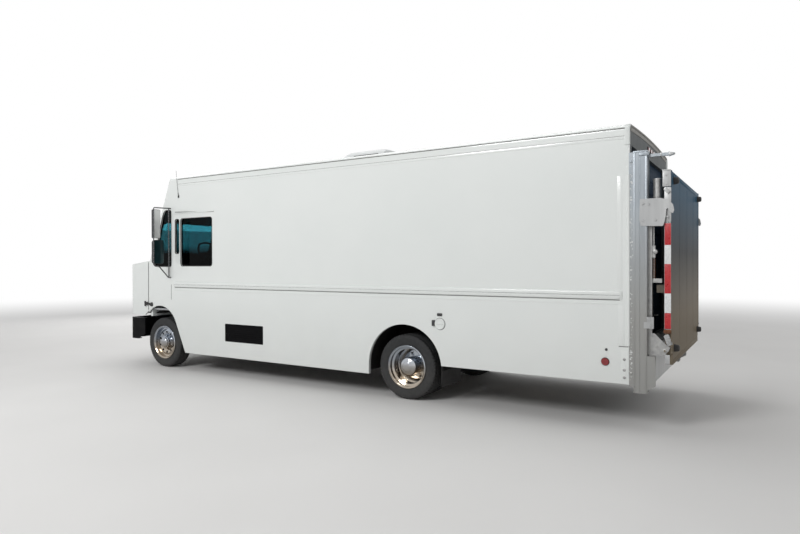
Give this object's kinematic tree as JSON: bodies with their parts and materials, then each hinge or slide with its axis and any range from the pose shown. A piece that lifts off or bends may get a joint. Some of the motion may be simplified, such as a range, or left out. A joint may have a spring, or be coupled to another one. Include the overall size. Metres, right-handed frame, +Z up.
{
  "type": "food truck",
  "caption": "Walk-in food truck with a tall box body, sloped windscreen, side serving hatch, sliding entry door, roof cooling unit and a rail lift gate stowed upright at the rear.",
  "frame": {"origin": "on the ground below the middle of the whole vehicle", "axes": "+X forward, +Y to the left side, +Z up"},
  "size_m": [8.38, 3.014, 3.2552],
  "materials": {
    "white_body": "gloss white paint",
    "white_panel": "satin white paint",
    "chassis_black": "matt black paint",
    "cast": "rough",
    "steel_grey": "dull",
    "galvanised": "galvanised",
    "deck": "mill finish",
    "floor_board": "worn tread plate",
    "mirror_bar": "polished",
    "bright": "polished",
    "black_plastic": "matt",
    "bumper_black": "satin black paint",
    "glass_dark": "tinted",
    "glass_clear": "clear",
    "mirror_face": "silvered",
    "lamp_red": "clear red",
    "lamp_amber": "clear amber",
    "lamp_clear": "clear",
    "dash": "grained",
    "seat_cloth": "woven",
    "rubber": "matt",
    "tyre": "matt",
    "unit_white": "moulded shell"
  },
  "bodies": {
    "body": {"chassis_frame": "chassis_black", "front_axle": "cast", "rear_axle": "cast", "leaf_springs": "cast", "engine": "cast", "exhaust": "steel_grey", "fuel_tank": "steel_grey", "floor": "floor_board", "wheel_boxes": "floor_board", "left_side": "white_body", "right_side": "white_body", "roof": "white_body", "front_wall": "white_body", "bulkhead": "white_panel", "rear_frame": "white_body", "rear_door": "white_panel", "windscreen": "glass_clear", "side_windows": "glass_dark", "front_bumper": "bumper_black", "mirror_arms": "mirror_bar", "mirror_heads": "black_plastic", "mirror_glass": "mirror_face", "roof_unit": "unit_white", "dashboard": "dash", "steering_wheel": "dash", "seat_frame": "chassis_black", "seat_cushions": "seat_cloth", "latch_bases": "rubber", "rear_lamps": "lamp_red", "front_markers": "lamp_amber", "side_fittings": "black_plastic", "bed_extension": "galvanised", "gate_columns": "galvanised", "gate_hooks": "galvanised"},
    "hood": {"hood": "white_body", "grille": "black_plastic", "headlamps": "lamp_clear"},
    "entry_door": {"entry_door": "white_body", "entry_glass": "glass_clear"},
    "serving_hatch": {"serving_hatch": "white_body"},
    "gate_carriage": {"gate_carriage": "galvanised"},
    "gate_platform": {"gate_platform": "deck", "platform_bumpers": "rubber", "hook_pins": "steel_grey"},
    "knuckle_left": {"knuckle_left": "cast"},
    "knuckle_right": {"knuckle_right": "cast"},
    "wheel_front_left": {"tyre_front_left": "tyre", "rim_front_left": "bright"},
    "wheel_front_right": {"tyre_front_right": "tyre", "rim_front_right": "bright"},
    "wheel_rear_left": {"tyres_rear_left": "tyre", "rims_rear_left": "bright"},
    "wheel_rear_right": {"tyres_rear_right": "tyre", "rims_rear_right": "bright"}
  },
  "joints": [
    {"name": "hood_tilt", "type": "hinge", "parent": "body", "child": "hood", "pos_m": [4.135, 0, 0.795], "axis": [0, 1, 0], "range_deg": [0, 60]},
    {"name": "entry_door_slide", "type": "slide", "parent": "body", "child": "entry_door", "axis": [-1, 0, 0], "range_m": [0, 0.7]},
    {"name": "serving_hatch_lift", "type": "hinge", "parent": "body", "child": "serving_hatch", "pos_m": [-0.175, -1.197, 2.353], "axis": [-1, 0, 0], "range_deg": [0, 85]},
    {"name": "gate_lift", "type": "slide", "parent": "body", "child": "gate_carriage", "axis": [0, 0, 1], "range_m": [-0.645, 0]},
    {"name": "gate_fold", "type": "hinge", "parent": "gate_carriage", "child": "gate_platform", "pos_m": [-4.078, 0, 0.795], "axis": [0, -1, 0], "range_deg": [0, 90]},
    {"name": "steer_left", "type": "hinge", "parent": "body", "child": "knuckle_left", "pos_m": [3.32, 0.925, 0.392], "axis": [0, 0, 1], "range_deg": [-35, 35]},
    {"name": "steer_right", "type": "hinge", "parent": "body", "child": "knuckle_right", "pos_m": [3.32, -0.925, 0.392], "axis": [0, 0, 1], "range_deg": [-35, 35]},
    {"name": "spin_front_left", "type": "hinge", "parent": "knuckle_left", "child": "wheel_front_left", "pos_m": [3.32, 1.037, 0.392], "axis": [0, 1, 0], "continuous": true},
    {"name": "spin_front_right", "type": "hinge", "parent": "knuckle_right", "child": "wheel_front_right", "pos_m": [3.32, -1.037, 0.392], "axis": [0, 1, 0], "continuous": true},
    {"name": "spin_rear_left", "type": "hinge", "parent": "body", "child": "wheel_rear_left", "pos_m": [-1.201, 0.902, 0.392], "axis": [0, 1, 0], "continuous": true},
    {"name": "spin_rear_right", "type": "hinge", "parent": "body", "child": "wheel_rear_right", "pos_m": [-1.201, -0.902, 0.392], "axis": [0, 1, 0], "continuous": true}
  ],
  "couplings": [
    {"joint": "steer_right", "follows": "steer_left", "ratio": 1}
  ]
}
